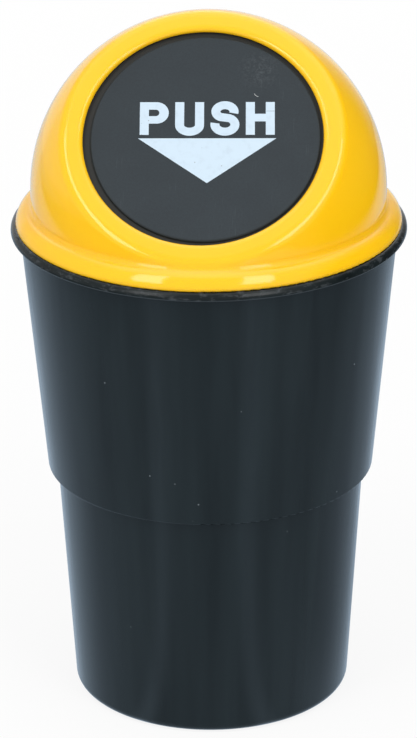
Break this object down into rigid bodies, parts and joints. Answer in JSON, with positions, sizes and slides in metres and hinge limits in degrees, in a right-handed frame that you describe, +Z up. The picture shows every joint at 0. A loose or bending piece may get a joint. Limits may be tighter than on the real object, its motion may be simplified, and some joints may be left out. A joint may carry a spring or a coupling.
{
  "type": "car trash bin",
  "caption": "Stepped round waste bin that stands in a car's cup holder, with a lift-off dome lid and a slanted round push flap that springs shut.",
  "frame": {"origin": "on the floor, under the centre of the cup's base", "axes": "+Z up along the cup's axis, the flap faces -Y, +X to the right seen from the front"},
  "size_m": [0.0892, 0.0892, 0.1605],
  "materials": {
    "cup_plastic": "satin black moulded polypropylene",
    "lid_plastic": "glossy yellow moulded plastic",
    "flap_plastic": "fine-grained dark grey moulded plastic",
    "pin_steel": "drawn steel wire",
    "spring_steel": "spring steel wire"
  },
  "bodies": {
    "cup": {"cup": "cup_plastic"},
    "lid": {"dome_lid": "lid_plastic", "hinge_pin": "pin_steel", "return_spring": "spring_steel"},
    "flap": {"push_flap": "flap_plastic"}
  },
  "joints": [
    {"name": "lid_lift", "type": "slide", "parent": "cup", "child": "lid", "axis": [0, 0, 1], "range_m": [0, 0.05]},
    {"name": "flap_swing", "type": "hinge", "parent": "lid", "child": "flap", "pos_m": [0, 0.00943, 0.15392], "axis": [1, 0, 0], "range_deg": [0, 70], "stiffness_Nm_per_rad": 0.012, "springref_deg": -40.11, "deforming": ["return_spring"]}
  ]
}
